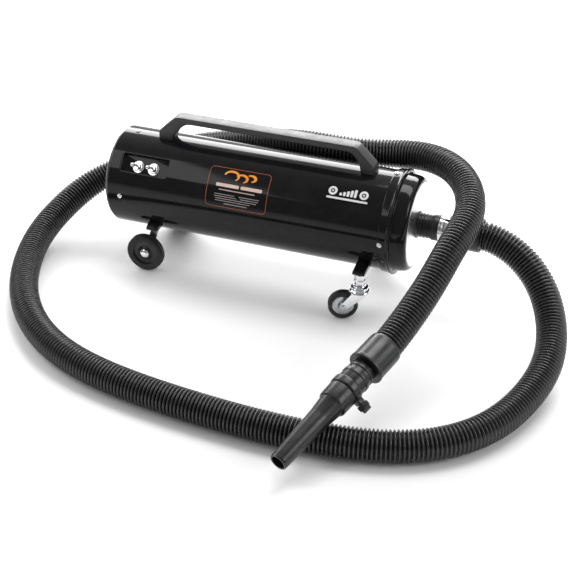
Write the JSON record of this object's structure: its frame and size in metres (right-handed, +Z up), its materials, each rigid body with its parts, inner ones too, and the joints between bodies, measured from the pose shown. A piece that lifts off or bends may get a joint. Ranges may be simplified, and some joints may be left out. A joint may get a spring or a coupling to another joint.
{
  "type": "pet dryer",
  "caption": "Pet grooming force dryer: glossy black steel tube with toggle switches, carry handle, rear wheels, front casters, corrugated hose and cone nozzle.",
  "frame": {"origin": "on the floor, below the middle of the machine without its hose", "axes": "+X along the tube towards the air outlet, -Y the side with the switches, +Z up"},
  "size_m": [1.0346, 0.732, 0.286],
  "materials": {
    "black_enamel": "gloss",
    "rear_cap_gray": "satin",
    "black_plastic": "satin",
    "hose_plastic": "satin",
    "chrome": "polished",
    "zinc_steel": "satin",
    "black_rubber": "matte",
    "filter_foam": "open foam",
    "copper_winding": "lacquered",
    "laminated_core": "satin",
    "fan_aluminium": "satin",
    "switch_phenolic": "satin"
  },
  "bodies": {
    "base": {"body_tube": "black_enamel", "front_cap": "black_enamel", "rear_cap": "rear_cap_gray", "filter_foam": "filter_foam", "outlet_neck": "black_plastic", "outlet_ring": "chrome", "handle": "black_plastic", "handle_bolt_1": "zinc_steel", "handle_bolt_2": "zinc_steel", "switch_panel": "black_enamel", "switch_body_1": "switch_phenolic", "switch_body_2": "switch_phenolic", "switch_nut_1": "chrome", "switch_nut_2": "chrome", "cord_gland": "black_plastic", "motor_sleeve": "filter_foam", "fan_housing_1": "zinc_steel", "fan_housing_2": "zinc_steel", "motor_frame_1": "laminated_core", "motor_frame_2": "laminated_core", "stator_1": "copper_winding", "stator_2": "copper_winding", "rear_bracket_near": "black_enamel", "rear_bracket_far": "black_enamel", "wheel_bolt_near": "chrome", "wheel_bolt_far": "chrome", "front_bracket_near": "black_enamel", "front_bracket_far": "black_enamel", "caster_stem_near": "chrome", "caster_stem_far": "chrome", "front_screw_1": "chrome", "front_screw_2": "chrome", "front_screw_3": "chrome", "front_screw_4": "chrome", "rear_screw_1": "chrome", "rear_screw_2": "chrome", "rear_screw_3": "chrome", "rear_screw_4": "chrome", "hose_cuff_outlet": "black_plastic", "hose": "hose_plastic", "hose_cuff_nozzle": "black_plastic", "nozzle_adaptor": "black_plastic", "nozzle_clamp": "black_plastic"},
    "filter_cover": {"filter_cover": "black_plastic"},
    "lever_1": {"switch_lever_1": "chrome"},
    "lever_2": {"switch_lever_2": "chrome"},
    "wheel_near": {"rear_wheel_near": "black_rubber"},
    "wheel_far": {"rear_wheel_far": "black_rubber"},
    "yoke_near": {"caster_yoke_near": "chrome", "caster_axle_near": "zinc_steel"},
    "yoke_far": {"caster_yoke_far": "chrome", "caster_axle_far": "zinc_steel"},
    "caster_near": {"caster_wheel_near": "black_rubber"},
    "caster_far": {"caster_wheel_far": "black_rubber"},
    "rotor_1": {"armature_1": "laminated_core", "impeller_1": "fan_aluminium"},
    "rotor_2": {"armature_2": "laminated_core", "impeller_2": "fan_aluminium"},
    "nozzle": {"nozzle": "black_plastic"},
    "knob": {"nozzle_knob": "black_plastic"}
  },
  "joints": [
    {"name": "filter_cover_slide", "type": "slide", "parent": "base", "child": "filter_cover", "axis": [-1, 0, 0], "range_m": [0, 0.06]},
    {"name": "switch_1", "type": "hinge", "parent": "base", "child": "lever_1", "pos_m": [-0.2515, -0.06644, 0.20578], "axis": [1, 0, 0], "range_deg": [-24, 0]},
    {"name": "switch_2", "type": "hinge", "parent": "base", "child": "lever_2", "pos_m": [-0.2217, -0.06644, 0.20578], "axis": [1, 0, 0], "range_deg": [-24, 0]},
    {"name": "rear_wheel_near_spin", "type": "hinge", "parent": "base", "child": "wheel_near", "pos_m": [-0.237, -0.08, 0.0355], "axis": [0, 1, 0], "continuous": true},
    {"name": "rear_wheel_far_spin", "type": "hinge", "parent": "base", "child": "wheel_far", "pos_m": [-0.237, 0.08, 0.0355], "axis": [0, 1, 0], "continuous": true},
    {"name": "caster_near_swivel", "type": "hinge", "parent": "base", "child": "yoke_near", "pos_m": [0.183, -0.096, 0.06], "axis": [0, 0, 1], "continuous": true},
    {"name": "caster_far_swivel", "type": "hinge", "parent": "base", "child": "yoke_far", "pos_m": [0.183, 0.096, 0.06], "axis": [0, 0, 1], "continuous": true},
    {"name": "caster_near_spin", "type": "hinge", "parent": "yoke_near", "child": "caster_near", "pos_m": [0.1565, -0.10649, 0.0265], "axis": [0.3681, -0.9298, 0], "continuous": true},
    {"name": "caster_far_spin", "type": "hinge", "parent": "yoke_far", "child": "caster_far", "pos_m": [0.1565, 0.10649, 0.0265], "axis": [-0.3681, -0.9298, 0], "continuous": true},
    {"name": "motor_1_spin", "type": "hinge", "parent": "base", "child": "rotor_1", "pos_m": [-0.1, 0, 0.15], "axis": [1, 0, 0], "continuous": true},
    {"name": "motor_2_spin", "type": "hinge", "parent": "base", "child": "rotor_2", "pos_m": [0.04, 0, 0.15], "axis": [1, 0, 0], "continuous": true},
    {"name": "nozzle_turn", "type": "hinge", "parent": "base", "child": "nozzle", "pos_m": [0.24841, -0.47411, 0.07511], "axis": [-0.3224, -0.9132, -0.2493], "continuous": true},
    {"name": "clamp_knob", "type": "hinge", "parent": "base", "child": "knob", "pos_m": [0.2959, -0.42786, 0.06892], "axis": [0.8175, -0.1359, -0.5596], "continuous": true}
  ]
}
